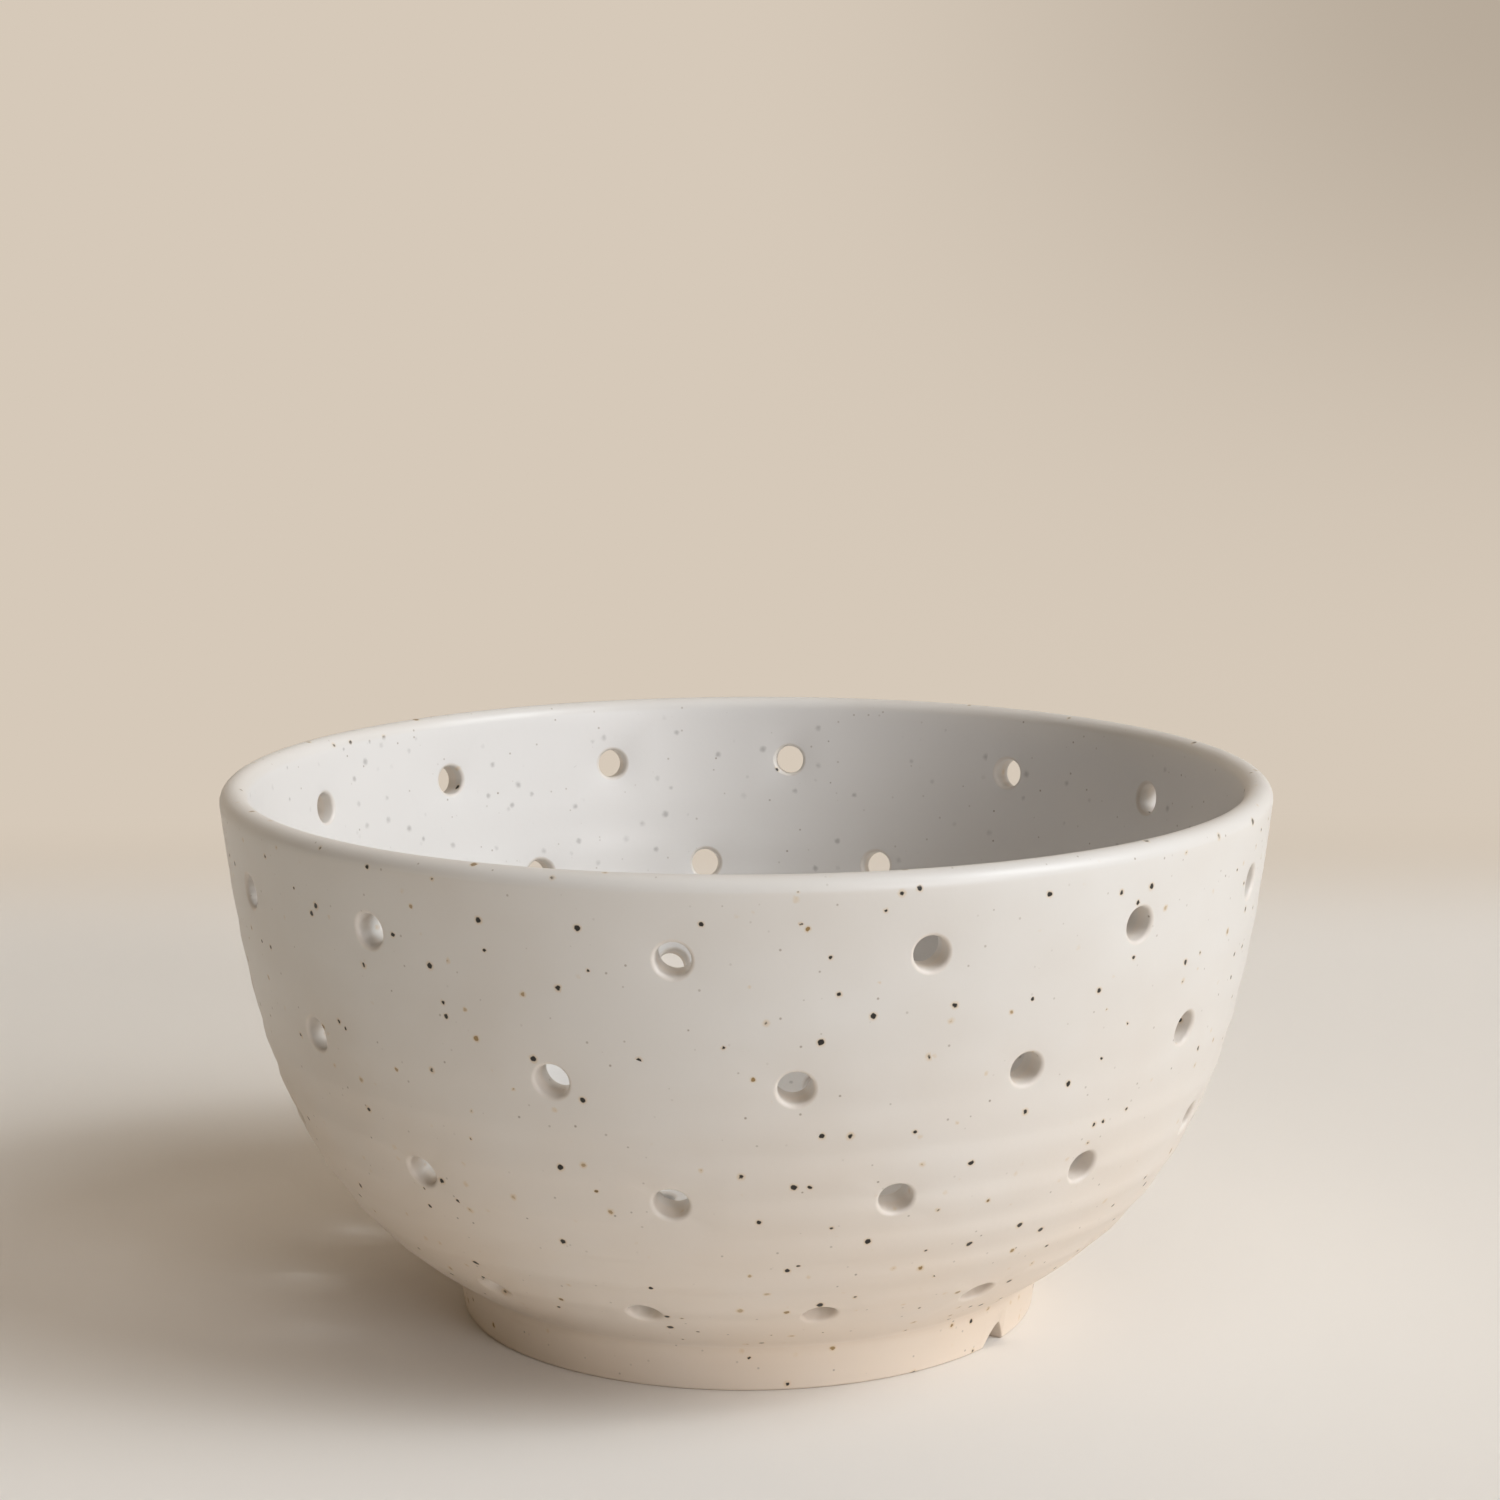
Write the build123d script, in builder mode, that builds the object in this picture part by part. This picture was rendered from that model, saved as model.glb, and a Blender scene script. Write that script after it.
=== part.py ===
"""Stoneware berry colander bowl: a thrown bowl with pierced wall and floor, on a luted foot ring.

Millimetres, +Z up. The origin is the middle of the foot, on the surface that the bowl stands on.
The front of the bowl faces -Y, and angles round it run from the front towards +X.
"""

import os
from math import cos, radians, sin

from build123d import *

# Overall sizes
rim_diameter = 165.0
height = 85.5
foot_diameter = 93.5
foot_height = 7.2  # from the table up to the seat where the foot ring is luted on

# Outer wall, one cubic curve from the foot up to the lip
belly_slope = 29.0  # degrees above level where the belly leaves the foot
belly_reach = 31.0  # length of the curve's handle at the foot
lip_lean = 6.4  # degrees that the wall leans outwards at the lip
lip_reach = 34.0  # length of the curve's handle at the lip

# Thickness and inside
wall = 4.5
floor_thickness = 5.3
floor_inset = 16.25  # from the foot's outside in to the flat part of the floor
floor_reach = 36.5  # length of the inner curve's handle at the floor
inner_lip_reach = 39.0  # length of the inner curve's handle at the lip

# Foot ring
foot_width = 5.5
foot_bevel = 0.7  # trimmed off the two edges that meet the table
joint_fillet = 4.5  # smoothed slip where the belly runs into the foot

# Drain holes in the wall, each pierced square to it
hole_diameter = 5.0
first_row_drop = 9.2  # from the top of the outer wall down along it to the first row
row_spacing = 19.0  # between the first three rows, along the wall
foot_row_rise = 14.8  # from the foot up along the wall to the lowest row
hole_runs = (  # top row first: degrees to each run's first hole, degrees from hole to hole, and how many holes
    ((-7.0, 25.0, 7), (174.2, 24.2, 7)),
    ((-20.1, 25.0, 7), (161.6, 24.2, 7)),
    ((-40.1, 31.7, 2), (16.6, 25.0, 5), (142.8, 24.2, 7)),
    ((-14.8, 25.0, 7), (166.8, 25.6, 7)),
)

# Drain holes in the floor, and notches that let the water under it run out
floor_holes = 5  # in a ring round the middle one
floor_hole_circle = 36.0
notch_diameter = 5.2
notch_angle = 56.0  # degrees, the first notch
notches = 2

# Values that follow from the sizes above
foot_radius = foot_diameter / 2
foot_inside = foot_radius - foot_width
floor_top = foot_height + floor_thickness
floor_radius = foot_radius - floor_inset
lip_centre = Vector((rim_diameter - wall) / 2, height - wall / 2)
wall_out = Vector(cos(radians(lip_lean)), -sin(radians(lip_lean)))  # square to the wall at the lip
wall_down = Vector(-sin(radians(lip_lean)), -cos(radians(lip_lean)))  # along the wall at the lip
belly_out = Vector(cos(radians(belly_slope)), sin(radians(belly_slope)))
seat = Plane.XY.offset(foot_height)
drill_depth = 2 * (wall + floor_thickness)  # well through the clay wherever a hole is


# Section of the clay from the axis outwards, shared by the bowl and its foot so that they always meet
with BuildSketch(Plane.XZ) as clay_section:
    with BuildLine():
        foot_joint = Vector(foot_radius, foot_height)
        outer_lip = lip_centre + wall_out * (wall / 2)
        inner_lip = lip_centre - wall_out * (wall / 2)
        outer_wall = Bezier(
            foot_joint,
            foot_joint + belly_out * belly_reach,
            outer_lip + wall_down * lip_reach,
            outer_lip,
        )
        TangentArc(outer_lip, inner_lip, tangent=outer_wall % 1)
        inner_wall = Bezier(
            inner_lip,
            inner_lip + wall_down * inner_lip_reach,
            (floor_radius + floor_reach, floor_top),
            (floor_radius, floor_top),
        )
        Polyline(
            inner_wall @ 1,
            (0, floor_top),
            (0, foot_height),
            (foot_inside, foot_height),
            (foot_inside, 0),
            (foot_radius, 0),
            foot_joint,
        )
    make_face()
    table_corners = clay_section.vertices().group_by(Axis.Y)[0]
    chamfer(table_corners, foot_bevel)
    joint_corner = clay_section.vertices().sort_by_distance(foot_joint)[0]
    fillet(joint_corner, joint_fillet)


def round_to(angle, plane):
    """A plane drawn on the +X side, carried round the bowl to this angle from the front."""
    return Plane(Location((0, 0, 0), (0, 0, angle - 90)) * plane.location)


def hole_planes():
    """One plane for each hole in the wall, lying on the wall with its Z axis pointing straight out of it."""
    wall_length = outer_wall.length
    rises = [wall_length - first_row_drop - row_spacing * row for row in range(3)] + [foot_row_rise]
    planes = []
    for rise, runs in zip(rises, hole_runs):
        point = outer_wall.position_at(rise, PositionMode.LENGTH)
        along = outer_wall.tangent_at(rise, PositionMode.LENGTH)
        on_wall = Plane((point.X, 0, point.Y), x_dir=(0, 1, 0), z_dir=(along.Y, 0, -along.X))
        for first, pitch, holes in runs:
            planes += [round_to(first + pitch * hole, on_wall) for hole in range(holes)]
    return planes


# Thrown bowl: floor, wall and lip, pierced for draining
with BuildPart() as bowl_body:
    revolve(clay_section.sketch, axis=Axis.Z)
    split(bisect_by=seat, keep=Keep.TOP)
    with Locations(*hole_planes()):
        Hole(hole_diameter / 2, depth=drill_depth)
    with Locations((0, 0, floor_top)):
        Hole(hole_diameter / 2, depth=drill_depth)
        with PolarLocations(floor_hole_circle / 2, floor_holes):
            Hole(hole_diameter / 2, depth=drill_depth)


# Foot ring: luted to the flat underside of the floor, with half-round notches in its lower edge
with BuildPart() as foot_ring:
    revolve(clay_section.sketch, axis=Axis.Z)
    split(bisect_by=seat, keep=Keep.BOTTOM)
    with BuildSketch(*[round_to(notch_angle + 360 / notches * notch, Plane.YZ) for notch in range(notches)]):
        Circle(notch_diameter / 2)
    extrude(amount=foot_diameter, mode=Mode.SUBTRACT)


os.makedirs("parts", exist_ok=True)
for piece, name in ((bowl_body, "bowl_body"), (foot_ring, "foot_ring")):
    piece.part.label = name
    export_step(piece.part, f"parts/{name}.step")
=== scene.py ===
"""Berry colander bowl: a thrown and pierced stoneware bowl on its foot ring, in a speckled satin glaze.

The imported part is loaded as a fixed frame, and each piece takes the place of one of its nodes.
Metres, +Z up. The origin is the middle of the foot, on the surface that the bowl stands on.
The front faces -Y, and angles round the bowl run from the front towards +X.
"""

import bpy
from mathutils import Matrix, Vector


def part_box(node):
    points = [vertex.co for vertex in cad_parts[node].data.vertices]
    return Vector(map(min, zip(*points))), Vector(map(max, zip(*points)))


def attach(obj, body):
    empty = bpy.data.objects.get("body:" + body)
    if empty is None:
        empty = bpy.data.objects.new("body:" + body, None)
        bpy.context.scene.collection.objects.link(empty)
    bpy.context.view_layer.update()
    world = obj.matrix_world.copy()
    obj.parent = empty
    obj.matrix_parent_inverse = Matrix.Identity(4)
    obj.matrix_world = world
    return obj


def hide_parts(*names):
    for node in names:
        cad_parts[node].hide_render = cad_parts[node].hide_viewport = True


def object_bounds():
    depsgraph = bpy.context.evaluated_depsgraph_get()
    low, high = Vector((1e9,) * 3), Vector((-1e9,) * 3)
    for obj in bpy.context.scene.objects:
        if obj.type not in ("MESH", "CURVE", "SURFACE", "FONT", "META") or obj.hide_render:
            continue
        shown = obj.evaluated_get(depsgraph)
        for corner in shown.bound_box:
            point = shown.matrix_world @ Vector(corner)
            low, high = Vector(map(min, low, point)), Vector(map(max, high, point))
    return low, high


bl_info = {
    "name": "Berry Colander Bowl",
    "version": (1, 0, 0),
    "blender": (4, 5, 0),
    "location": "3D View > Sidebar > Colander",
    "description": "Models a pierced stoneware bowl and its foot ring, glazes them and sets the stage",
    "category": "Add Mesh",
}

from collections import Counter, namedtuple
from math import asin, atan2, cos, pi, radians, sin, tau

import bmesh
import bpy
from bpy.props import FloatProperty, FloatVectorProperty, IntProperty, PointerProperty
from mathutils import Matrix, Vector
from mathutils.bvhtree import BVHTree
from mathutils.geometry import interpolate_bezier

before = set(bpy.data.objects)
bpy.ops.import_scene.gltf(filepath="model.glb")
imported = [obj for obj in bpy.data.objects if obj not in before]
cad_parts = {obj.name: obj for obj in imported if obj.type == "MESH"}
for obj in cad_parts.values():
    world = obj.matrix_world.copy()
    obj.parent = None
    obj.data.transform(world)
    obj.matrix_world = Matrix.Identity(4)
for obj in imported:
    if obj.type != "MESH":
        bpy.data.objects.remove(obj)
cad_low, cad_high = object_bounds()
bowl_low, bowl_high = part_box("bowl_body")

UP = Vector((0, 0, 1))
COLUMNS = 288  # round the bowl
ROW = 0.0013  # between the rows of the bowl's mesh, along its section
FINE = 2000  # points on a curve when a length along it is looked up
REACH = 4  # cells of the mesh opened on each side of a hole's middle
LIP_STEPS = 12  # round the lip
JOINT_STEPS = 8  # round the slip fillet on the bowl
FOOT_JOINT_STEPS = 10  # round the slip fillet on the foot
EDGE_STEPS = 5  # round a softened edge
FLOOR_HOLE_SIDES = 36
FOOT_STEPS = 150  # round the foot, from one notch to the next
NOTCH_STEPS = 80  # across a notch
NOTCH_SIDE = radians(5)  # each side of a notch's middle that has these finer steps
SWEEP_STEPS = 24  # round the bend of the paper
NOTCH_CURVE = 1.6  # how the sides of a notch bend: 1 is straight, and more is rounder at the top
SMOOTH_BELOW = radians(48)  # edges that bend less than this are shaded smooth

# How thin the glaze lies: 0 on the upper wall, 1 where the belly meets the foot, and more where clay shows
THICK_GLAZE = -1.0  # inside the bowl
LIP_GLAZE = -0.6
INSIDE_RIM_GLAZE = 0.2  # on the holes' rims inside the bowl
OUTSIDE_RIM_GLAZE = 0.35
BORE_GLAZE = 0.4
UNDERSIDE_GLAZE = 0.6
JOINT_GLAZE = 1.0
FOOT_GLAZE = 1.1

# Stretches over which the throwing ridges and the glaze change, in metres along the wall from the foot
RIDGES_START = 0.006, 0.02
RIDGES_WEAKEN = 0.045, 0.07
GLAZE_THICKENS = 0.005, 0.078
# The same in metres from the lip
RIDGES_END = 0.014, 0.005
INSIDE_RIDGES_START = 0.005, 0.02
INSIDE_RIDGES_END = 0.06, 0.085

RIDGES_LOSS = 0.6  # share of their height that the ridges lose on the upper wall
INSIDE_RIDGES = 0.3  # height of the ridges inside, as a share of the height outside


def linear(hex_colour):
    """An sRGB hex colour as linear red, green and blue."""
    shares = [int(hex_colour[i:i + 2], 16) / 255 for i in (1, 3, 5)]
    return [s / 12.92 if s <= 0.04045 else ((s + 0.055) / 1.055) ** 2.4 for s in shares]


def length(name, description, default):
    return FloatProperty(name=name, description=description, default=default, unit="LENGTH", precision=5)


def angle(name, description, default):
    return FloatProperty(name=name, description=description, default=radians(default), subtype="ANGLE")


def colour(name, description, default):
    return FloatVectorProperty(
        name=name, description=description, size=3, default=linear(default), subtype="COLOR", min=0, max=1
    )


def share(name, description, default):
    return FloatProperty(name=name, description=description, default=default, subtype="FACTOR", min=0, max=1)


class BowlSizes(bpy.types.PropertyGroup):
    """Sizes of the clay section that the bowl and its foot ring share"""

    rim_diameter: length("Rim diameter", "Across the outside of the lip", bowl_high.x - bowl_low.x)
    height: length("Height", "From the table to the top of the lip", cad_high.z)
    foot_diameter: length("Foot diameter", "Across the outside of the foot ring", 0.0935)
    foot_height: length("Foot height", "From the table up to the joint under the floor", bowl_low.z)
    belly_slope: angle("Belly slope", "Above level, where the belly leaves the foot", 29.0)
    belly_reach: length("Belly reach", "Handle of the outer curve at the foot", 0.031)
    lip_lean: angle("Lip lean", "How far the wall leans outwards at the lip", 6.4)
    lip_reach: length("Lip reach", "Handle of the outer curve at the lip", 0.034)
    wall: length("Wall", "Thickness of the wall at the lip", 0.0045)
    floor_thickness: length("Floor thickness", "From the foot joint up to the inside floor", 0.0053)
    floor_inset: length("Floor inset", "From the foot's outside in to the flat of the floor", 0.01625)
    floor_reach: length("Floor reach", "Handle of the inner curve at the floor", 0.0365)
    inner_lip_reach: length("Inner lip reach", "Handle of the inner curve at the lip", 0.039)
    foot_width: length("Foot width", "Thickness of the foot ring", 0.0055)
    foot_edge: length("Foot edge", "Rounding of the two edges that meet the table", 0.00045)
    foot_taper: length("Foot taper", "How much narrower the foot is where it meets the table", 0.0008)
    joint_fillet: length("Joint fillet", "Smoothed slip where the belly runs into the foot", 0.003)
    ridge_spacing: length("Ridge spacing", "Between the turns of the throwing ridges", 0.0076)
    ridge_depth: length("Ridge depth", "Height of the throwing ridges where they are strongest", 0.00018)


class DrainHoles(bpy.types.PropertyGroup):
    """Sizes and places of the drain holes and of the notches in the foot"""

    diameter: length("Hole diameter", "Across each drain hole", 0.005)
    outside_round: length("Outside rounding", "Softened rim of a hole on the outside", 0.00065)
    inside_round: length("Inside rounding", "Softened rim of a hole on the inside", 0.0006)
    first_row_drop: length(
        "First row drop", "From the top of the outer wall down along it to the first row", 0.0092
    )
    row_spacing: length("Row spacing", "Between the first three rows, along the wall", 0.019)
    foot_row_rise: length("Foot row rise", "From the foot up along the wall to the lowest row", 0.0148)
    in_floor: IntProperty(
        name="Holes in the floor", description="In a ring round the middle one", default=5, min=1
    )
    floor_circle: length("Floor circle", "Across the ring of holes in the floor", 0.036)
    notch_width: length("Notch width", "Across each notch in the foot", 0.0058)
    notch_height: length("Notch height", "From the table to the top of a notch", 0.003)
    notch_lean: share("Notch lean", "How far a notch's top lies towards its right side", 0.6)
    notch_angle: angle("Notch angle", "The first notch, from the front", 55.6)
    notches: IntProperty(name="Notches", description="Evenly spaced round the foot", default=2, min=1)


class GlazeFinish(bpy.types.PropertyGroup):
    """Colours and grain of the glaze and of the bare clay"""

    white: colour("Glaze", "Off-white satin glaze of the outside", "#DEDAD5")
    thick: colour("Thick glaze", "Inside the bowl, where the glaze is thickest", "#E0DDDA")
    cloud: colour("Glaze clouds", "Where the glaze is a little thinner", "#D9D3CC")
    buff: colour("Thin glaze", "Warm clay that shows through thin glaze", "#E7D8C8")
    dark_speck: colour("Dark specks", "Iron in the clay, melted into the glaze", "#140D08")
    tan_speck: colour("Tan specks", "Weak iron specks", "#8A6B33")
    halo: colour("Speck fringe", "Iron bled into the glaze round a speck", "#CDAA68")
    faint_speck: colour("Faint specks", "Specks deep under the glaze", "#9A8D7E")
    covered_speck: colour("Covered specks", "Iron specks under the thick glaze inside the bowl", "#8B8682")
    clay: colour("Bare clay", "Unglazed stoneware of the foot's face", "#C9AE8E")
    roughness: share("Glaze roughness", "Satin, between gloss and matt", 0.38)
    speck_cell: length("Speck spacing", "Between iron specks in the clay", 0.0036)
    speck_size: length("Speck size", "Radius of the largest iron specks", 0.00055)
    faint_cell: length("Faint speck spacing", "Between specks deep under the glaze", 0.0026)
    faint_size: length("Faint speck size", "Radius of the largest faint specks", 0.00026)
    cluster_size: length("Cluster size", "Patches with more or fewer specks", 0.026)
    cloud_size: length("Cloud size", "Clouds of thicker and thinner glaze", 0.03)
    grain_size: length("Glaze grain", "Fine unevenness of a satin surface", 0.0009)


class StudioStage(bpy.types.PropertyGroup):
    """Paper sweep, lights and camera"""

    floor: colour("Floor", "Pale paper that the bowl stands on", "#F0ECE7")
    backdrop: colour("Backdrop", "Beige paper behind the bowl", "#D6C9B9")
    # Painted shade: the darker colour that the backdrop is painted towards its upper right corner, where the
    # light falls off
    corner: colour("Backdrop corner", "Where the backdrop falls into shade", "#B7AA9A")
    painted_shade_start: length("Corner start", "Left of this place or below it, the backdrop has no shade", -0.02)
    painted_shade_side: length("Corner side", "To the right of the middle, where the shade is full", 0.35)
    painted_shade_top: length("Corner top", "Above the table, where the shade is full", 0.27)
    room: colour("Room light", "Weak warm light from the room", "#FFF0DE")
    room_level: FloatProperty(
        name="Room level", description="Strength of the room's light", default=0.012, min=0
    )
    lamp_level: FloatProperty(name="Lamp level", description="Strength of all the lamps", default=1.0, min=0)
    fade_start: length("Fade start", "Behind the bowl, where the floor's colour starts to change", 0.23)
    fade_end: length("Fade end", "Where it has become the backdrop's colour", 0.42)
    side_fade_start: length("Side fade start", "From the bowl, where the floor changes on every side", 0.84)
    side_fade_end: length("Side fade end", "Where it has become the backdrop's colour on every side", 1.68)
    sweep_front: length("Sweep front", "From the bowl to the front edge of the paper", 2.5)
    sweep_back: length("Sweep back", "From the bowl to the upright part of the paper", 1.0)
    sweep_side: length("Sweep side", "From the bowl to the side edges of the paper", 3.0)
    sweep_top: length("Sweep top", "From the table to the upper edge of the paper", 2.2)
    sweep_bend: length("Sweep bend", "Radius at which the paper bends upwards", 0.5)
    lens: FloatProperty(name="Lens", description="Focal length", default=78.0, unit="CAMERA")
    camera_place: FloatVectorProperty(
        name="Camera place", description="Where the camera stands", default=(0.00061, -0.5072, 0.1738),
        subtype="TRANSLATION",
    )
    camera_pitch: angle("Camera pitch", "How far the camera looks down", 9.486)
    camera_roll: angle("Camera roll", "How far the camera leans", -0.22)


# Rows of drain holes, top row first: degrees to each run's first hole, degrees from hole to hole,
# and how many holes
HOLE_RUNS = (
    ((-7.0, 25.0, 7), (174.2, 24.2, 7)),
    ((-20.1, 25.0, 7), (161.6, 24.2, 7)),
    ((-40.1, 31.7, 2), (16.6, 25.0, 5), (142.8, 24.2, 7)),
    ((-14.8, 25.0, 7), (166.8, 25.6, 7)),
)

# Softboxes round the bowl: angle from the front and rise above the table in degrees, distance and size in
# metres, and how bright each one alone would make white paper that faces it
Lamp = namedtuple("Lamp", "name turn rise distance size level colour")
LAMPS = (
    Lamp("low_window", 70, 30, 6.0, 3.6, 0.335, "#F7FCFF"),
    Lamp("high_window", 70, 45, 6.0, 3.6, 0.325, "#F7FCFF"),
    Lamp("window_glare", 68, 45, 6.0, 1.0, 0.08, "#F7FCFF"),
    Lamp("front_window", 36, 13, 6.0, 2.4, 0.35, "#FBF9FA"),
    Lamp("front_softbox", 15, 65, 3.0, 2.0, 0.08, "#FFF6EC"),
    Lamp("back_softbox", 180, 80, 3.0, 2.0, 0.10, "#FFEBD2"),
    Lamp("left_fill", -90, 60, 3.0, 2.0, 0.028, "#FFEBD2"),
    Lamp("left_card", -70, 1.5, 3.0, 0.2, 0.05, "#FFE6B8"),
)


# Section of the clay

Row = namedtuple("Row", "point rise ridge thin")


def soft_step(value, start, end):
    """0 before start and 1 after end, with a soft change between them."""
    part = min(max((value - start) / (end - start), 0.0), 1.0)
    return part * part * (3 - 2 * part)


def arc(centre, radius, start, end, count):
    """Points on an arc between two angles, both ends included."""
    turns = [start + (end - start) * i / count for i in range(count + 1)]
    return [centre + Vector((cos(t), sin(t))) * radius for t in turns]


def line(start, end, step):
    """Points on a straight line, both ends included."""
    count = max(1, round((end - start).length / step))
    return [start.lerp(end, i / count) for i in range(count + 1)]


def clay_curves(sizes):
    """Outer wall from the foot up, inner wall down to the floor, and lip's middle, in (radius, height)."""
    lip = Vector((sizes.rim_diameter - sizes.wall, 2 * sizes.height - sizes.wall)) / 2
    out = Vector((cos(sizes.lip_lean), -sin(sizes.lip_lean)))
    down = Vector((-sin(sizes.lip_lean), -cos(sizes.lip_lean)))
    belly = Vector((cos(sizes.belly_slope), sin(sizes.belly_slope)))
    foot_joint = Vector((sizes.foot_diameter / 2, sizes.foot_height))
    floor_edge = foot_joint + Vector((-sizes.floor_inset, sizes.floor_thickness))
    outer_lip = lip + out * sizes.wall / 2
    inner_lip = lip - out * sizes.wall / 2
    outer = (
        foot_joint,
        foot_joint + belly * sizes.belly_reach,
        outer_lip + down * sizes.lip_reach,
        outer_lip,
    )
    inner = (
        inner_lip,
        inner_lip + down * sizes.inner_lip_reach,
        floor_edge + Vector((sizes.floor_reach, 0)),
        floor_edge,
    )
    return outer, inner, lip


def curve_length(curve):
    points = interpolate_bezier(*curve, FINE)
    return sum((there - here).length for here, there in zip(points, points[1:]))


def place_on(curve, distance):
    """The point at a distance along a curve, and the curve's direction there."""
    points = interpolate_bezier(*curve, FINE)
    for here, there in zip(points, points[1:]):
        step = there - here
        if distance <= step.length:
            return here + step.normalized() * distance, step.normalized()
        distance -= step.length
    raise ValueError("a row of holes lies beyond the end of the wall")


def joint_fillet(sizes, outer):
    """Middle of the slip fillet between foot and belly, and its angles at the foot's seat and at its end."""
    radius = sizes.joint_fillet
    points = interpolate_bezier(*outer, FINE)
    for here, there in zip(points, points[1:]):
        along = (there - here).normalized()
        centre = here + Vector((along.y, -along.x)) * radius
        if centre.x >= sizes.foot_diameter / 2 + radius:
            break
    seat = pi - asin((sizes.foot_height - centre.y) / radius)
    end = atan2(here.y - centre.y, here.x - centre.x)
    return centre, seat, end


def bowl_rows(sizes):
    """Outline of the bowl's section from the foot's seat out, up over the lip and down to the flat floor."""
    outer, inner, lip = clay_curves(sizes)
    centre, seat, joint_end = joint_fillet(sizes, outer)
    joint = arc(centre, sizes.joint_fillet, seat, joint_end, JOINT_STEPS)
    wall_length = curve_length(outer)
    steps = round(wall_length / ROW)
    wall = [p for p in interpolate_bezier(*outer, steps + 1) if p.x > joint[-1].x + ROW / 3]
    over_lip = arc(lip, sizes.wall / 2, -sizes.lip_lean, pi - sizes.lip_lean, LIP_STEPS)[1:-1]
    inside = interpolate_bezier(*inner, round(curve_length(inner) / ROW) + 1)

    rows = [Row(p, 0, 0, JOINT_GLAZE) for p in joint]
    for number, point in enumerate(wall):
        rise = wall_length * (1 - (len(wall) - 1 - number) / steps)
        ridge = soft_step(rise, *RIDGES_START) * (1 - RIDGES_LOSS * soft_step(rise, *RIDGES_WEAKEN))
        ridge *= 1 - soft_step(rise, *(wall_length - drop for drop in RIDGES_END))
        rows.append(Row(point, rise, ridge, 1 - soft_step(rise, *GLAZE_THICKENS)))
    rows += [Row(p, 0, 0, LIP_GLAZE) for p in over_lip]
    for number, point in enumerate(inside):
        drop = number * ROW
        ridge = INSIDE_RIDGES * soft_step(drop, *INSIDE_RIDGES_START)
        ridge *= 1 - soft_step(drop, *INSIDE_RIDGES_END)
        rows.append(Row(point, drop, ridge, THICK_GLAZE))
    return rows


def foot_rows(sizes):
    """Outline of the foot ring's section from the seat's inner corner out, down and round under it."""
    outer = clay_curves(sizes)[0]
    centre, seat, _ = joint_fillet(sizes, outer)
    edge, outside = sizes.foot_edge, sizes.foot_diameter / 2
    within = outside - sizes.foot_width
    joint = arc(centre, sizes.joint_fillet, seat, pi, FOOT_JOINT_STEPS)
    outer_edge = arc(Vector((outside - sizes.foot_taper - edge, edge)), edge, 0, -pi / 2, EDGE_STEPS)
    inner_edge = arc(Vector((within + edge, edge)), edge, -pi / 2, -pi, EDGE_STEPS)
    seat_corner = Vector((within, sizes.foot_height))
    step = 2 * edge
    points = line(seat_corner, joint[0], step)[:-1] + joint + line(joint[-1], outer_edge[0], step / 2)[1:-1]
    points += outer_edge + line(outer_edge[-1], inner_edge[0], step)[1:-1] + inner_edge
    points += line(inner_edge[-1], seat_corner, step)[1:-1]
    return [Row(p, 0, 0, FOOT_GLAZE) for p in points]


# Meshes

def turn_of(point):
    """Angle of a point round the bowl, from the front towards +X, from 0 up to a full turn."""
    return atan2(point.x, -point.y) % tau


def draw_outline(bm, rows, closed):
    """Draws the rows as an outline in front of the axis, with what each row carries in the mesh's layers."""
    number = bm.verts.layers.int.new("row")
    floats = [bm.verts.layers.float.new(name) for name in ("rise", "ridge", "thin_glaze")]
    verts = []
    for index, row in enumerate(rows):
        vert = bm.verts.new((0, -row.point.x, row.point.y))
        vert[number] = index
        for layer, value in zip(floats, (row.rise, row.ridge, row.thin)):
            vert[layer] = value
        verts.append(vert)
    ends = [(verts[-1], verts[0])] if closed else []
    return verts + [bm.edges.new(pair) for pair in (*zip(verts, verts[1:]), *ends)]


def spin(bm, outline, turn, steps, whole):
    """Spins an outline about the axis, and returns the outline at the far end."""
    return bmesh.ops.spin(
        bm, geom=outline, cent=(0, 0, 0), axis=UP, dvec=(0, 0, 0), angle=turn, steps=steps,
        use_merge=whole, use_normal_flip=False, use_duplicate=False,
    )["geom_last"]


def throw_ridges(bm, sizes):
    """Raises the soft spiral ridges that the potter's fingers leave on the wall."""
    rise, ridge = bm.verts.layers.float["rise"], bm.verts.layers.float["ridge"]
    bmesh.ops.recalc_face_normals(bm, faces=bm.faces)
    bm.normal_update()
    for vert in bm.verts:
        if vert[ridge]:
            turn = turn_of(vert.co)
            climb = tau * vert[rise] / sizes.ridge_spacing - turn
            # A weaker ridge wanders across the main one, and both swell and fade round the bowl
            wave = 0.75 * sin(climb) + 0.25 * sin(2 * climb + 3 * turn + 0.8)
            swell = 1 + 0.3 * sin(2 * turn + 60 * vert[rise])
            vert.co += vert.normal * (sizes.ridge_depth * vert[ridge] * wave * swell)


def hole_frame(turn, point, along, depth):
    """A frame with its Z axis along a hole, out of the clay, and its origin at a depth under the surface."""
    outwards = Vector((sin(turn), -cos(turn), 0))
    sideways = Vector((cos(turn), sin(turn), 0))
    axis = outwards * along.y - UP * along.x
    place = outwards * point.x + UP * point.y - axis * depth
    turned = Matrix((sideways, axis.cross(sideways), axis)).transposed()
    return Matrix.Translation(place) @ turned.to_4x4()


def wall_hole_frames(sizes, holes):
    """A frame for each drain hole in the wall, square to the wall's surface."""
    outer = clay_curves(sizes)[0]
    top_row = curve_length(outer) - holes.first_row_drop
    rises = [top_row - holes.row_spacing * row for row in range(3)] + [holes.foot_row_rise]
    frames = []
    for rise, runs in zip(rises, HOLE_RUNS):
        point, along = place_on(outer, rise)
        for first, pitch, count in runs:
            turns = [radians(first + pitch * hole) for hole in range(count)]
            frames += [hole_frame(turn, point, along, sizes.wall / 2) for turn in turns]
    return frames


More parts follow.
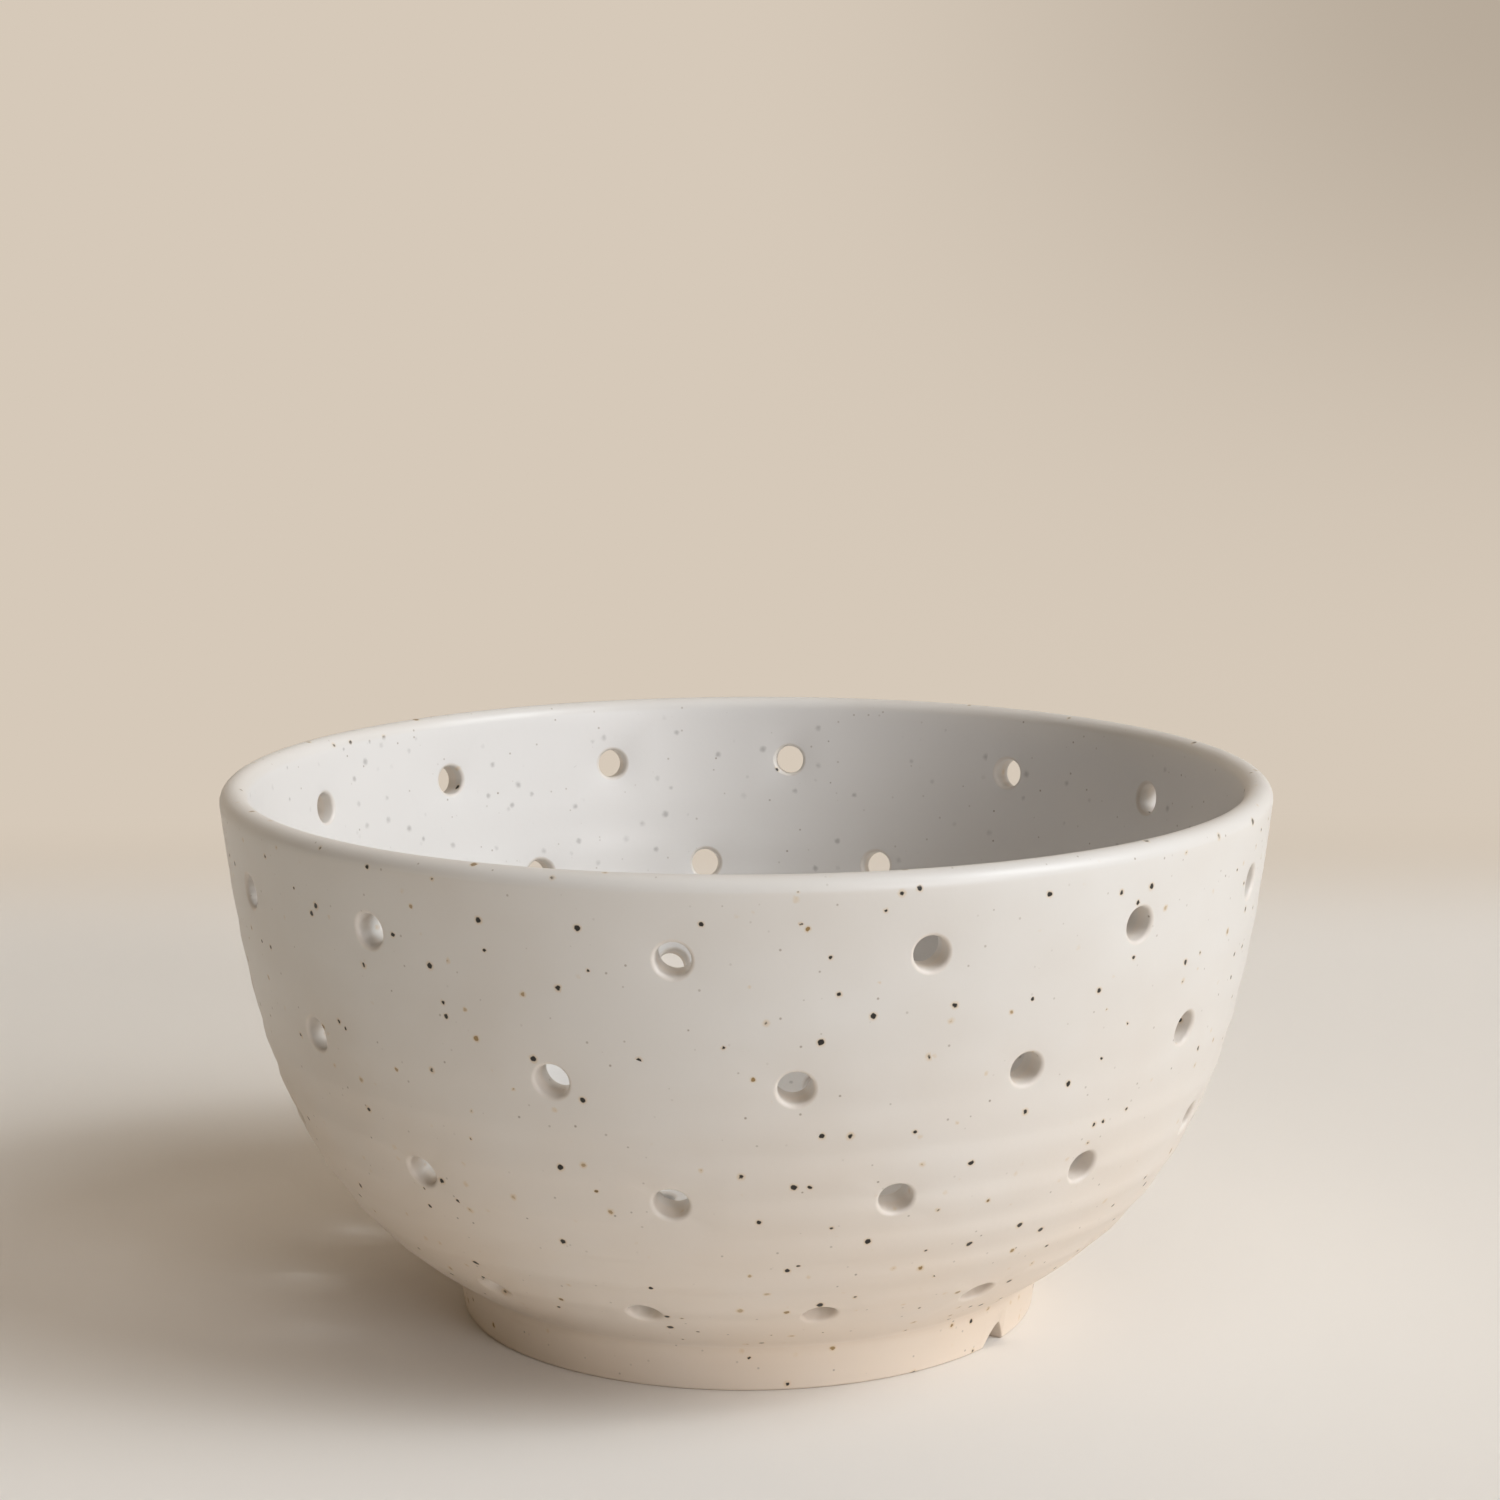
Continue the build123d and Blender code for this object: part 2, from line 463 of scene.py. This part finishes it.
def add_ring(bm, radius, place, segments):
    """Adds a circle, and returns its corners and its edges."""
    verts = bmesh.ops.create_circle(bm, segments=segments, radius=radius, matrix=place)["verts"]
    return verts, list(dict.fromkeys(edge for vert in verts for edge in vert.link_edges))


def lay_floor(bm, sizes, holes):
    """Fills the floor and its underside round the drain holes, and returns the edges of the holes' mouths."""
    thin = bm.verts.layers.float["thin_glaze"]
    turns = [tau * hole / holes.in_floor for hole in range(holes.in_floor)]
    middles = [Vector((0, 0, 0)), *(Vector((cos(t), sin(t), 0)) * holes.floor_circle / 2 for t in turns)]
    open_edges = [edge for edge in bm.edges if edge.is_boundary]
    mouths = []
    floor_top = sizes.foot_height + sizes.floor_thickness
    for level, glaze in ((sizes.foot_height, UNDERSIDE_GLAZE), (floor_top, THICK_GLAZE)):
        flat = [edge for edge in open_edges if abs(edge.verts[0].co.z - level) < ROW / 10]
        rings = []
        for middle in middles:
            place = Matrix.Translation(middle + UP * level)
            round_verts, round_edges = add_ring(bm, holes.diameter, place, FLOOR_HOLE_SIDES)
            verts, ring = add_ring(bm, holes.diameter / 2, place, FLOOR_HOLE_SIDES)
            for vert in round_verts + verts:
                vert[thin] = glaze
            bmesh.ops.bridge_loops(bm, edges=round_edges + ring)
            flat += round_edges
            rings.append(ring)
        bmesh.ops.triangle_fill(bm, edges=flat, normal=UP, use_beauty=True, use_dissolve=False)
        mouths.append(rings)
    for below, above in zip(*mouths):
        bmesh.ops.bridge_loops(bm, edges=below + above)
    return [sum(rings, []) for rings in mouths]


def pierce(bm, frames, radius):
    """Opens a hole in the wall at each frame, and returns the edges of the mouths outside and inside."""
    surface = BVHTree.FromBMesh(bm)
    number, thin = bm.verts.layers.int["row"], bm.verts.layers.float["thin_glaze"]
    cells, cell_of = {}, []
    for face in bm.faces:
        numbers = [vert[number] for vert in face.verts]
        column = int(turn_of(face.calc_center_median()) / tau * COLUMNS)
        cell_of.append((min(numbers), column))
        if max(numbers) - min(numbers) == 1:
            cells[min(numbers), column] = face
    outside, inside, bores = [], [], []
    for place in frames:
        rings, into = [], place.inverted()
        for mouth, axis in ((outside, place.col[2].xyz), (inside, -place.col[2].xyz)):
            row, column = cell_of[surface.ray_cast(place.translation, axis)[2]]
            window = [
                cells[row + up, (column + along) % COLUMNS]
                for up in range(-REACH, REACH + 1)
                for along in range(-REACH, REACH + 1)
            ]
            uses = Counter(edge for face in window for edge in face.edges)
            border = [edge for edge, count in uses.items() if count == 1]
            corners = {vert for edge in border for vert in edge.verts}
            around = sum(vert[thin] for vert in corners) / len(corners)
            turns = sorted(atan2(*(into @ vert.co).yx) for vert in corners)
            bmesh.ops.delete(bm, geom=window, context="FACES")
            verts, ring = add_ring(bm, radius, place, len(turns))
            for vert, turn in zip(verts, turns):
                spoke = place @ Vector((radius * cos(turn), radius * sin(turn), 0))
                vert.co = surface.ray_cast(spoke, axis)[0]
                vert[thin] = around
            bmesh.ops.bridge_loops(bm, edges=border + ring)
            rings += ring
            mouth += ring
        bores += bmesh.ops.bridge_loops(bm, edges=rings)["edges"]
    for item in bmesh.ops.subdivide_edges(bm, edges=bores, cuts=1, use_grid_fill=True)["geom_inner"]:
        if isinstance(item, bmesh.types.BMVert):
            item[thin] = BORE_GLAZE
    return outside, inside


def soften_rims(bm, edges, radius, glaze):
    """Rounds the mouths of the holes, where the glaze runs thin."""
    thin = bm.verts.layers.float["thin_glaze"]
    rims = bmesh.ops.bevel(
        bm, geom=edges, offset=radius, offset_type="OFFSET", segments=EDGE_STEPS, profile=0.5, affect="EDGES",
        clamp_overlap=False, loop_slide=True, material=-1,
    )
    rounded = set(rims["faces"])
    for vert in rims["verts"]:
        if rounded.issuperset(vert.link_faces):
            vert[thin] = max(vert[thin], glaze)


def cut_notches(bm, sizes, holes):
    """Lifts the lower edge of the foot into notches that were cut with one slanting stroke."""
    top = sizes.foot_height - sizes.joint_fillet / 2
    for vert in bm.verts:
        if vert.co.z >= top:
            continue
        for notch in range(holes.notches):
            turn = turn_of(vert.co) - holes.notch_angle - tau * notch / holes.notches
            across = 2 * vert.co.xy.length * sin(turn) / holes.notch_width
            if cos(turn) > 0 and abs(across) < 1:
                lean = holes.notch_lean
                down = (lean - across) / (lean + 1) if across < lean else (across - lean) / (1 - lean)
                lift = holes.notch_height * (1 - down**NOTCH_CURVE)
                vert.co.z = lift + vert.co.z * (top - lift) / top


def finish_piece(name, bm, node, materials):
    """Closes a mesh and stands it in its node's place."""
    bmesh.ops.recalc_face_normals(bm, faces=bm.faces)
    for face in bm.faces:
        face.smooth = True
    bm.verts.layers.int.remove(bm.verts.layers.int["row"])
    for layer in ("rise", "ridge"):
        bm.verts.layers.float.remove(bm.verts.layers.float[layer])
    mesh = bpy.data.meshes.new(name)
    bm.to_mesh(mesh)
    bm.free()
    mesh.set_sharp_from_angle(angle=SMOOTH_BELOW)
    for material in materials:
        mesh.materials.append(material)
    piece = bpy.data.objects.new(name, mesh)
    bpy.context.scene.collection.objects.link(piece)
    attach(piece, "root")
    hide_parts(node)
    return piece


# Materials

def set_inputs(tree, node, inputs):
    """Sets a node's inputs, in order or by name or number.

    Each is a fixed value, a colour, another node's output, or a node, which gives its first output in use.
    """
    for key, value in inputs.items() if isinstance(inputs, dict) else enumerate(inputs):
        socket = node.inputs[key]
        if isinstance(value, bpy.types.Node):
            value = next(output for output in value.outputs if output.enabled)
        if isinstance(value, bpy.types.NodeSocket):
            tree.links.new(value, socket)
        else:
            socket.default_value = (*value, 1) if socket.type == "RGBA" else value


def add_node(tree, kind, inputs=(), **settings):
    """Adds a node with its settings and its inputs."""
    node = tree.nodes.new(kind)
    for name, value in settings.items():
        setattr(node, name, value)
    set_inputs(tree, node, inputs)
    return node


def new_material(name):
    """A material with its node tree, its shader and its Object coordinates."""
    material = bpy.data.materials.new(name)
    material.use_nodes = True
    tree = material.node_tree
    place = add_node(tree, "ShaderNodeTexCoord").outputs["Object"]
    return material, tree, tree.nodes["Principled BSDF"], place


def satin_glaze(finish):
    """Satin stoneware glaze: an off-white skin, soft in its shine, warm where it is thin on edges and foot,
    with iron from the clay bled through it as dark specks with ochre fringes, in uneven clusters."""
    material, tree, shader, place = new_material("satin_stoneware_glaze")
    thin = add_node(tree, "ShaderNodeAttribute", attribute_name="thin_glaze").outputs["Fac"]
    clouds, clusters, grain = (
        add_node(tree, "ShaderNodeTexNoise", {"Vector": place, "Scale": 1 / size, "Detail": detail})
        for size, detail in ((finish.cloud_size, 3), (finish.cluster_size, 1), (finish.grain_size, 2))
    )

    # Cloudy white, warmer where it is thin, clay where it is wiped off, and whiter where it is thick
    cloudy = add_node(tree, "ShaderNodeMapRange", (clouds, 0.4, 0.7, 0, 1))
    patchy = add_node(tree, "ShaderNodeMapRange", (clouds, 0.3, 0.7, 0.65, 1))
    worn = add_node(tree, "ShaderNodeMath", (thin, patchy), operation="MULTIPLY")
    wiped = add_node(tree, "ShaderNodeMapRange", (thin, JOINT_GLAZE, 2 * JOINT_GLAZE, 0, 1))
    thick = add_node(tree, "ShaderNodeMapRange", (thin, THICK_GLAZE, LIP_GLAZE / 2, 1, 0))
    coats = (cloudy, finish.cloud), (worn, finish.buff), (wiped, finish.clay), (thick, finish.thick)
    skin = finish.white
    for amount, coat in coats:
        skin = add_node(tree, "ShaderNodeMix", {0: amount, 6: skin, 7: coat}, data_type="RGBA")

    # Faint specks deep under the glaze, each as strong as its cell's random colour says
    deep = add_node(tree, "ShaderNodeTexVoronoi", {"Vector": place, "Scale": 1 / finish.faint_cell})
    chance = add_node(tree, "ShaderNodeSeparateColor", [deep.outputs["Color"]])
    reach = finish.faint_size / finish.faint_cell
    spot = add_node(tree, "ShaderNodeMapRange", (deep, reach, reach * 0.4), interpolation_type="SMOOTHSTEP")
    strength = add_node(tree, "ShaderNodeMapRange", (chance, 0, 1, 0.1, 0.9))
    faint = add_node(tree, "ShaderNodeMath", (spot, strength), operation="MULTIPLY")
    skin = add_node(tree, "ShaderNodeMix", {0: faint, 6: skin, 7: finish.faint_speck}, data_type="RGBA")

    # Iron specks with ragged edges: the cell's random colour sets each one's size, whether it is there and
    # how dark it is
    ripple = {"Vector": place, "Scale": 0.9 / finish.speck_size, "Detail": 1}
    wobble = add_node(tree, "ShaderNodeTexNoise", ripple).outputs["Color"]
    shift = [finish.speck_size * 0.7] * 3
    ragged = add_node(tree, "ShaderNodeVectorMath", (wobble, shift, place), operation="MULTIPLY_ADD")
    iron = add_node(tree, "ShaderNodeTexVoronoi", {"Vector": ragged, "Scale": 1 / finish.speck_cell})
    chances = add_node(tree, "ShaderNodeSeparateColor", [iron.outputs["Color"]]).outputs
    largest = finish.speck_size / finish.speck_cell
    size = add_node(tree, "ShaderNodeMapRange", (chances[0], 0, 1, largest * 0.5, largest))
    reached = add_node(tree, "ShaderNodeMath", (iron, size), operation="DIVIDE")
    crowding = add_node(tree, "ShaderNodeMapRange", (clusters, 0.35, 0.65, 0.4, 1))
    there = add_node(tree, "ShaderNodeMath", (chances[1], crowding), operation="LESS_THAN")
    weak = add_node(tree, "ShaderNodeMapRange", (chances[2], 0.72, 0.76, 0, 1))
    strong = add_node(tree, "ShaderNodeMapRange", (chances[2], 0.78, 0.98, 1, 0.4))

    # The thick glaze inside the bowl covers the specks, so that they are wider, softer and greyer there
    clear, bled, edge, inner_edge, covered = (
        add_node(tree, "ShaderNodeMapRange", (thin, THICK_GLAZE, THICK_GLAZE / 2, inside, outside))
        for inside, outside in ((0.5, 1), (0, 1), (1.7, 1), (0.2, 0.75), (1, 0))
    )
    fringe, core = (
        add_node(tree, "ShaderNodeMapRange", (reached, *span), interpolation_type="SMOOTHSTEP")
        for span in ((1.7, 0.7, 0, 0.45), (edge, inner_edge, 0, 1))
    )
    for factor in (there, bled):
        fringe = add_node(tree, "ShaderNodeMath", (fringe, factor), operation="MULTIPLY")
    for factor in (there, strong, clear):
        core = add_node(tree, "ShaderNodeMath", (core, factor), operation="MULTIPLY")
    tint = finish.dark_speck
    for amount, shade in ((weak, finish.tan_speck), (covered, finish.covered_speck)):
        tint = add_node(tree, "ShaderNodeMix", {0: amount, 6: tint, 7: shade}, data_type="RGBA")
    for amount, shade in ((fringe, finish.halo), (core, tint)):
        skin = add_node(tree, "ShaderNodeMix", {0: amount, 6: skin, 7: shade}, data_type="RGBA")

    glossiest, dullest = finish.roughness - 0.05, finish.roughness + 0.07
    rough = add_node(tree, "ShaderNodeMapRange", (clouds, 0.3, 0.7, glossiest, dullest))
    bump = add_node(tree, "ShaderNodeBump", {"Strength": 0.25, "Distance": 0.00004, "Height": grain})
    set_inputs(tree, shader, {"Base Color": skin, "Roughness": rough, "Normal": bump, "IOR": 1.5})
    return material


def bare_stoneware(finish):
    """Fired clay wiped clean of glaze so that the bowl doesn't stick in the kiln: dry, buff and gritty."""
    material, tree, shader, place = new_material("bare_stoneware")
    grit = {"Vector": place, "Scale": 1 / finish.grain_size, "Detail": 4}
    grog = add_node(tree, "ShaderNodeTexNoise", grit)
    shade = add_node(tree, "ShaderNodeMix", {0: grog, 6: finish.clay, 7: finish.buff}, data_type="RGBA")
    bump = add_node(tree, "ShaderNodeBump", {"Strength": 0.5, "Distance": 0.0001, "Height": grog})
    set_inputs(tree, shader, {"Base Color": shade, "Roughness": 0.85, "Normal": bump})
    return material


def paper_sweep(stage):
    """Matt background paper: pale where the bowl stands, beige further back, with painted shade at one upper
    corner.
    """
    material, tree, shader, place = new_material("matt_paper_sweep")
    across, back, up = add_node(tree, "ShaderNodeSeparateXYZ", [place]).outputs
    away = add_node(tree, "ShaderNodeVectorMath", [place], operation="LENGTH")
    spans = (
        (back, stage.fade_start, stage.fade_end),
        (away, stage.side_fade_start, stage.side_fade_end),
        (across, stage.painted_shade_start, stage.painted_shade_side),
        (up, stage.painted_shade_start, stage.painted_shade_top),
    )
    behind_bowl, aside, right, high = (
        add_node(tree, "ShaderNodeMapRange", span, interpolation_type="SMOOTHSTEP") for span in spans
    )
    far = add_node(tree, "ShaderNodeMath", (behind_bowl, aside), operation="MAXIMUM")
    late = add_node(tree, "ShaderNodeMath", (far, far), operation="MULTIPLY")
    # Painted shade: the backdrop's colour darkens towards its upper right corner
    shade = add_node(tree, "ShaderNodeMath", (right, high), operation="MULTIPLY")
    backdrop_with_painted_shade = add_node(tree, "ShaderNodeMix", {0: shade, 6: stage.backdrop, 7: stage.corner}, data_type="RGBA")
    paper = add_node(tree, "ShaderNodeMix", {0: late, 6: stage.floor, 7: backdrop_with_painted_shade}, data_type="RGBA")
    set_inputs(tree, shader, {"Base Color": paper, "Roughness": 0.9, "Specular IOR Level": 0.2})

    # The far paper has one even colour for the eye and in reflections, painted corner shade included,
    # whatever light falls on it
    rays = add_node(tree, "ShaderNodeLightPath").outputs
    seen = rays["Is Camera Ray"]
    for ray in ("Is Glossy Ray", "Is Transmission Ray"):
        seen = add_node(tree, "ShaderNodeMath", (seen, rays[ray]), operation="ADD", use_clamp=True)
    seen_far = add_node(tree, "ShaderNodeMath", (seen, far), operation="MULTIPLY")
    even = add_node(tree, "ShaderNodeEmission", {"Color": backdrop_with_painted_shade})
    joined = add_node(tree, "ShaderNodeMixShader", (seen_far, shader, even))
    set_inputs(tree, tree.nodes["Material Output"], {"Surface": joined})
    return material


def shared_material(make, finish, name):
    """The material of this name, made when the first piece asks for it."""
    return bpy.data.materials.get(name) or make(finish)


# Operators

class COLANDER_OT_bowl_body(bpy.types.Operator):
    """Spin the bowl's section, raise its throwing ridges and pierce its drain holes"""

    bl_idname = "colander.bowl_body"
    bl_label = "Bowl Body"

    def execute(self, context):
        sizes, holes = context.scene.colander_sizes, context.scene.colander_holes
        glaze = shared_material(satin_glaze, context.scene.colander_finish, "satin_stoneware_glaze")
        bm = bmesh.new()
        spin(bm, draw_outline(bm, bowl_rows(sizes), closed=False), tau, COLUMNS, whole=True)
        below, above = lay_floor(bm, sizes, holes)
        throw_ridges(bm, sizes)
        outside, inside = pierce(bm, wall_hole_frames(sizes, holes), holes.diameter / 2)
        soften_rims(bm, outside + below, holes.outside_round, OUTSIDE_RIM_GLAZE)
        soften_rims(bm, inside + above, holes.inside_round, INSIDE_RIM_GLAZE)
        finish_piece("glazed_bowl", bm, "bowl_body", [glaze])
        return {"FINISHED"}


class COLANDER_OT_foot_ring(bpy.types.Operator):
    """Spin the foot ring, finer at its notches, and leave its lower face bare"""

    bl_idname = "colander.foot_ring"
    bl_label = "Foot Ring"

    def execute(self, context):
        sizes, holes = context.scene.colander_sizes, context.scene.colander_holes
        finish = context.scene.colander_finish
        glaze = shared_material(satin_glaze, finish, "satin_stoneware_glaze")
        clay = shared_material(bare_stoneware, finish, "bare_stoneware")
        bm = bmesh.new()
        outline = draw_outline(bm, foot_rows(sizes), closed=True)
        apart = tau / holes.notches
        steps = round(FOOT_STEPS * holes.notch_angle / apart)
        outline = spin(bm, outline, holes.notch_angle - NOTCH_SIDE, steps, whole=False)
        for notch in range(holes.notches):
            outline = spin(bm, outline, 2 * NOTCH_SIDE, NOTCH_STEPS, whole=False)
            last = notch == holes.notches - 1
            rest = apart - (holes.notch_angle if last else NOTCH_SIDE) - NOTCH_SIDE
            outline = spin(bm, outline, rest, round(FOOT_STEPS * rest / apart), whole=False)
        bmesh.ops.remove_doubles(bm, verts=bm.verts, dist=1e-6)
        cut_notches(bm, sizes, holes)
        for face in bm.faces:
            face.material_index = int(all(vert.co.z < sizes.foot_edge / 4 for vert in face.verts))
        finish_piece("glazed_foot", bm, "foot_ring", [glaze, clay])
        return {"FINISHED"}


class COLANDER_OT_stage(bpy.types.Operator):
    """Lay the paper sweep and set the lights and the camera"""

    bl_idname = "colander.stage"
    bl_label = "Stage"

    def execute(self, context):
        stage = context.scene.colander_stage
        self.lay_sweep(context, stage)
        self.set_lights(context, stage)
        self.set_camera(context, stage)
        context.scene.view_settings.view_transform = "Standard"
        return {"FINISHED"}

    def lay_sweep(self, context, stage):
        back, bend = stage.sweep_back, stage.sweep_bend
        bm = bmesh.new()
        turned = arc(Vector((back - bend, bend)), bend, -pi / 2, 0, SWEEP_STEPS)
        outline = [(-stage.sweep_front, 0), *turned, (back, stage.sweep_top)]
        verts = [bm.verts.new((-stage.sweep_side, y, z)) for y, z in outline]
        edges = [bm.edges.new(pair) for pair in zip(verts, verts[1:])]
        swept = bmesh.ops.extrude_edge_only(bm, edges=edges)["geom"]
        moved = [item for item in swept if isinstance(item, bmesh.types.BMVert)]
        bmesh.ops.translate(bm, verts=moved, vec=(2 * stage.sweep_side, 0, 0))
        bmesh.ops.recalc_face_normals(bm, faces=bm.faces)
        for face in bm.faces:
            face.smooth = True
        mesh = bpy.data.meshes.new("paper_sweep")
        bm.to_mesh(mesh)
        bm.free()
        mesh.materials.append(paper_sweep(stage))
        sweep = bpy.data.objects.new("paper_sweep", mesh)
        context.scene.collection.objects.link(sweep)

    def set_lights(self, context, stage):
        middle = (cad_low + cad_high) / 2
        for lamp in LAMPS:
            light = bpy.data.lights.new(lamp.name, "AREA")
            light.shape = "DISK"
            light.size = lamp.size
            # The watts at which white paper that faces the lamp shows its level
            light.energy = stage.lamp_level * lamp.level * pi**2 * lamp.distance**2
            light.color = linear(lamp.colour)
            turn, rise = radians(lamp.turn), radians(lamp.rise)
            towards = Vector((sin(turn) * cos(rise), -cos(turn) * cos(rise), sin(rise)))
            softbox = bpy.data.objects.new(lamp.name, light)
            softbox.location = middle + towards * lamp.distance
            softbox.rotation_euler = towards.to_track_quat("Z", "Y").to_euler()
            context.scene.collection.objects.link(softbox)

        world = bpy.data.worlds.new("studio_room")
        world.use_nodes = True
        tree = world.node_tree
        seen = add_node(tree, "ShaderNodeLightPath").outputs["Is Camera Ray"]
        tint = add_node(tree, "ShaderNodeMix", {0: seen, 6: stage.room, 7: stage.backdrop}, data_type="RGBA")
        strength = add_node(tree, "ShaderNodeMapRange", (seen, 0, 1, stage.room_level, 1))
        set_inputs(tree, tree.nodes["Background"], {"Color": tint, "Strength": strength})
        context.scene.world = world

    def set_camera(self, context, stage):
        lens = bpy.data.cameras.new("camera")
        lens.lens = stage.lens
        lens.sensor_width = 36.0
        camera = bpy.data.objects.new("camera", lens)
        tilted = Matrix.Rotation(pi / 2 - stage.camera_pitch, 4, "X")
        looking = tilted @ Matrix.Rotation(stage.camera_roll, 4, "Z")
        camera.matrix_world = Matrix.Translation(stage.camera_place) @ looking
        context.scene.collection.objects.link(camera)
        context.scene.camera = camera


class COLANDER_PT_panel(bpy.types.Panel):
    """Builds the bowl piece by piece"""

    bl_idname = "COLANDER_PT_panel"
    bl_label = "Berry Colander Bowl"
    bl_space_type = "VIEW_3D"
    bl_region_type = "UI"
    bl_category = "Colander"

    def draw(self, context):
        for operator in OPERATORS:
            self.layout.operator(operator.bl_idname)
        for name in GROUPS:
            group = getattr(context.scene, name)
            box = self.layout.box()
            for key in group.bl_rna.properties.keys():
                if key not in {"rna_type", "name"}:
                    box.prop(group, key)


OPERATORS = (COLANDER_OT_bowl_body, COLANDER_OT_foot_ring, COLANDER_OT_stage)
GROUPS = {
    "colander_sizes": BowlSizes,
    "colander_holes": DrainHoles,
    "colander_finish": GlazeFinish,
    "colander_stage": StudioStage,
}


def register():
    for group in (*GROUPS.values(), *OPERATORS, COLANDER_PT_panel):
        bpy.utils.register_class(group)
    for name, group in GROUPS.items():
        setattr(bpy.types.Scene, name, PointerProperty(type=group))


def unregister():
    for name in GROUPS:
        delattr(bpy.types.Scene, name)
    for group in (COLANDER_PT_panel, *reversed(OPERATORS), *GROUPS.values()):
        bpy.utils.unregister_class(group)


def main():
    register()
    bpy.ops.colander.bowl_body()
    bpy.ops.colander.foot_ring()
    bpy.ops.colander.stage()


if __name__ == "__main__":
    main()
